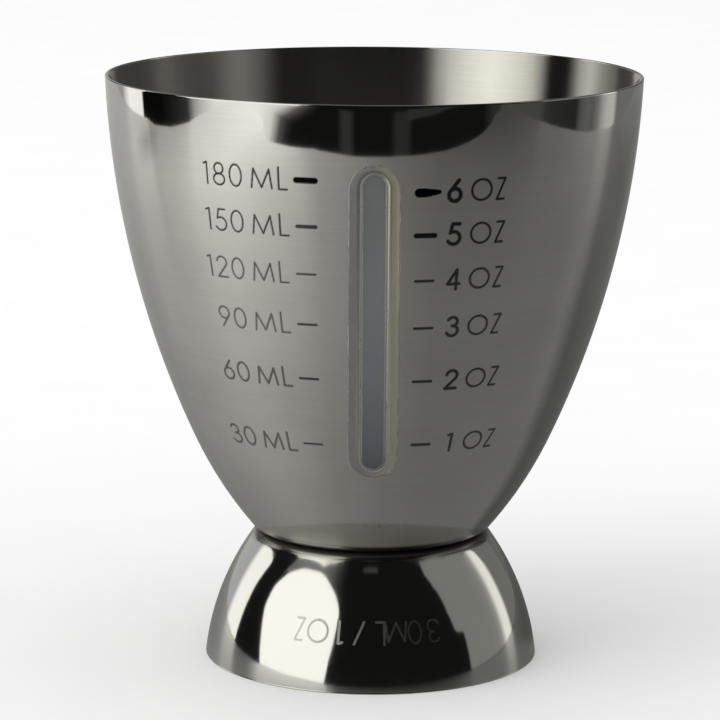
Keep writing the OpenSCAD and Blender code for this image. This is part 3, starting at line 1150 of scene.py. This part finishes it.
# Gloss of the table, its height, and its outline
GLOSS_TINT = (0.8, 0.8, 0.8)
GLOSS_ROUGHNESS = 0.36
GLOSS_IOR = 1.35
TABLE_DROP = -0.0005
TABLE_OUTLINE = ((-0.43, -0.28), (-0.3, -0.29), (-0.262, -0.256), (-0.235, -0.244), (-0.2, -0.258),
                 (-0.13, -0.282), (-0.07, -0.29), (0.05, -0.29), (0.1, -0.281), (0.17, -0.271),
                 (0.21, -0.264), (0.253, -0.262), (0.3, -0.27), (0.33, -0.285), (0.4, -0.285),
                 (0.4, BACK_Y), (-0.43, BACK_Y), (-0.43, 0.15), (-0.415, 0.1), (-0.408, 0.02),
                 (-0.412, -0.06), (-0.43, -0.11))


def facing(tree, across, along, distance, turn):
    """Cosine of the angle at the foot between a place on the table and a direction, in degrees from +X."""
    turn = math.radians(turn)
    reach = plus(tree, times(tree, across, math.cos(turn)), times(tree, along, math.sin(turn)))
    return math_node(tree, "DIVIDE", reach, distance)


def table_glow():
    """Table top as the steel sees it: bright towards the soft box, dark in the measure's own shadow."""
    material, tree = new_material("table_glow")
    place = object_place(tree)
    axes = axes_of(tree, place)
    across, along = axes["X"], axes["Y"]
    distance = add(tree, "ShaderNodeVectorMath", {0: place}, operation="LENGTH").outputs["Value"]
    box_side = facing(tree, across, along, distance, BOX_TURN)
    shadow_side = facing(tree, across, along, distance, SHADOW_TURN)
    wedge = ramp(tree, remap(tree, box_side, -1.0, 1.0, 0.0, 1.0), BOX_WEDGE)
    lit = times(tree, math_node(tree, "POWER", distance, BOX_POWER), BOX_GAIN)
    lit = times(tree, lit, remap(tree, across, *LEFT_FADE, LEFT_SHARE, 1.0))
    plain = plus(tree, times(tree, along, PLAIN_RISE), PLAIN_LEVEL)
    shade = remap(tree, shadow_side, *SHADOW_EDGE, 0.0, SHADOW_LEVEL)
    from_spot = add(tree, "ShaderNodeVectorMath", {0: place, 1: SPOT_PLACE}, operation="DISTANCE")
    spot = remap(tree, from_spot.outputs["Value"], 0.0, SPOT_REACH, SPOT_LEVEL, 0.0)
    level = times(tree, lit, wedge)
    for extra in (plain, shade, spot):
        level = plus(tree, level, extra)
    for height, (y0, y1), (x0, x1) in TABLE_PATCHES:
        patch = times(tree, remap(tree, along, y0, y1, 0.0, height), remap(tree, across, x0, x1, 0.0, 1.0))
        level = plus(tree, level, patch)
    shine = emission(tree, WARM_WHITE, level)
    gloss = add(tree, "ShaderNodeBsdfGlossy", {"Color": opaque(GLOSS_TINT), "Roughness": GLOSS_ROUGHNESS})
    angle = add(tree, "ShaderNodeFresnel", {"IOR": GLOSS_IOR})
    mixed = add(tree, "ShaderNodeMixShader", {0: angle.outputs[0], 1: shine, 2: gloss.outputs[0]})
    surface(tree, mixed.outputs[0])
    return material


table_card = panel("table_card", [(x, y, TABLE_DROP) for x, y in TABLE_OUTLINE], table_glow())
reflection_only(table_card)

# Floor: pale, and left out of reflections, which show the table instead
FLOOR_REACH = 6.0
FLOOR_DARK = (0.9, 0.9, 0.9)
FLOOR_PALE = (0.93, 0.93, 0.93)


def floor_material():
    material, tree = new_material("pale_floor")
    place = object_place(tree)
    grain = noise(tree, place, scale=40.0, detail=3.0)
    colour = blend_colour(tree, grain, opaque(FLOOR_DARK), opaque(FLOOR_PALE))
    surface(tree, add(tree, "ShaderNodeBsdfDiffuse", {"Color": colour}).outputs[0])
    return material


floor_corners = [(x * FLOOR_REACH, y * FLOOR_REACH, 0.0) for x, y in ((-1, -1), (1, -1), (1, 1), (-1, 1))]
floor = panel("floor", floor_corners, floor_material())
floor.visible_glossy = False
floor.visible_transmission = False

# Lamp that casts the soft shadow, and the white world around
KEY_PLACE = (-2.4, -1.8, 3.0)
KEY_SIZE = 3.0
KEY_WATTS = 35.0
WORLD_LIGHT = 0.97


def soft_lamp(name, place, size, watts):
    """A round lamp that faces the foot of the measure."""
    data = bpy.data.lights.new(name, "AREA")
    data.shape = "DISK"
    data.size = size
    data.energy = watts
    lamp = bpy.data.objects.new(name, data)
    lamp.location = place
    lamp.rotation_euler = (-Vector(place)).to_track_quat("-Z", "Y").to_euler()
    lamp.visible_glossy = False
    bpy.context.scene.collection.objects.link(lamp)


def white_world():
    """White wherever it is seen, directly or in gloss or glass, and a little less as light."""
    world = bpy.data.worlds.new("white_world")
    world.use_nodes = True
    tree = world.node_tree
    tree.nodes.clear()
    path = add(tree, "ShaderNodeLightPath").outputs
    mirrored = math_node(tree, "MAXIMUM", path["Is Glossy Ray"], path["Is Transmission Ray"])
    seen = math_node(tree, "MAXIMUM", path["Is Camera Ray"], mirrored)
    strength = remap(tree, seen, 0.0, 1.0, WORLD_LIGHT, 1.0)
    background = add(tree, "ShaderNodeBackground", {"Color": (1.0, 1.0, 1.0, 1.0), "Strength": strength})
    add(tree, "ShaderNodeOutputWorld", {"Surface": background.outputs[0]})
    bpy.context.scene.world = world


soft_lamp("key_lamp", KEY_PLACE, KEY_SIZE, KEY_WATTS)
white_world()
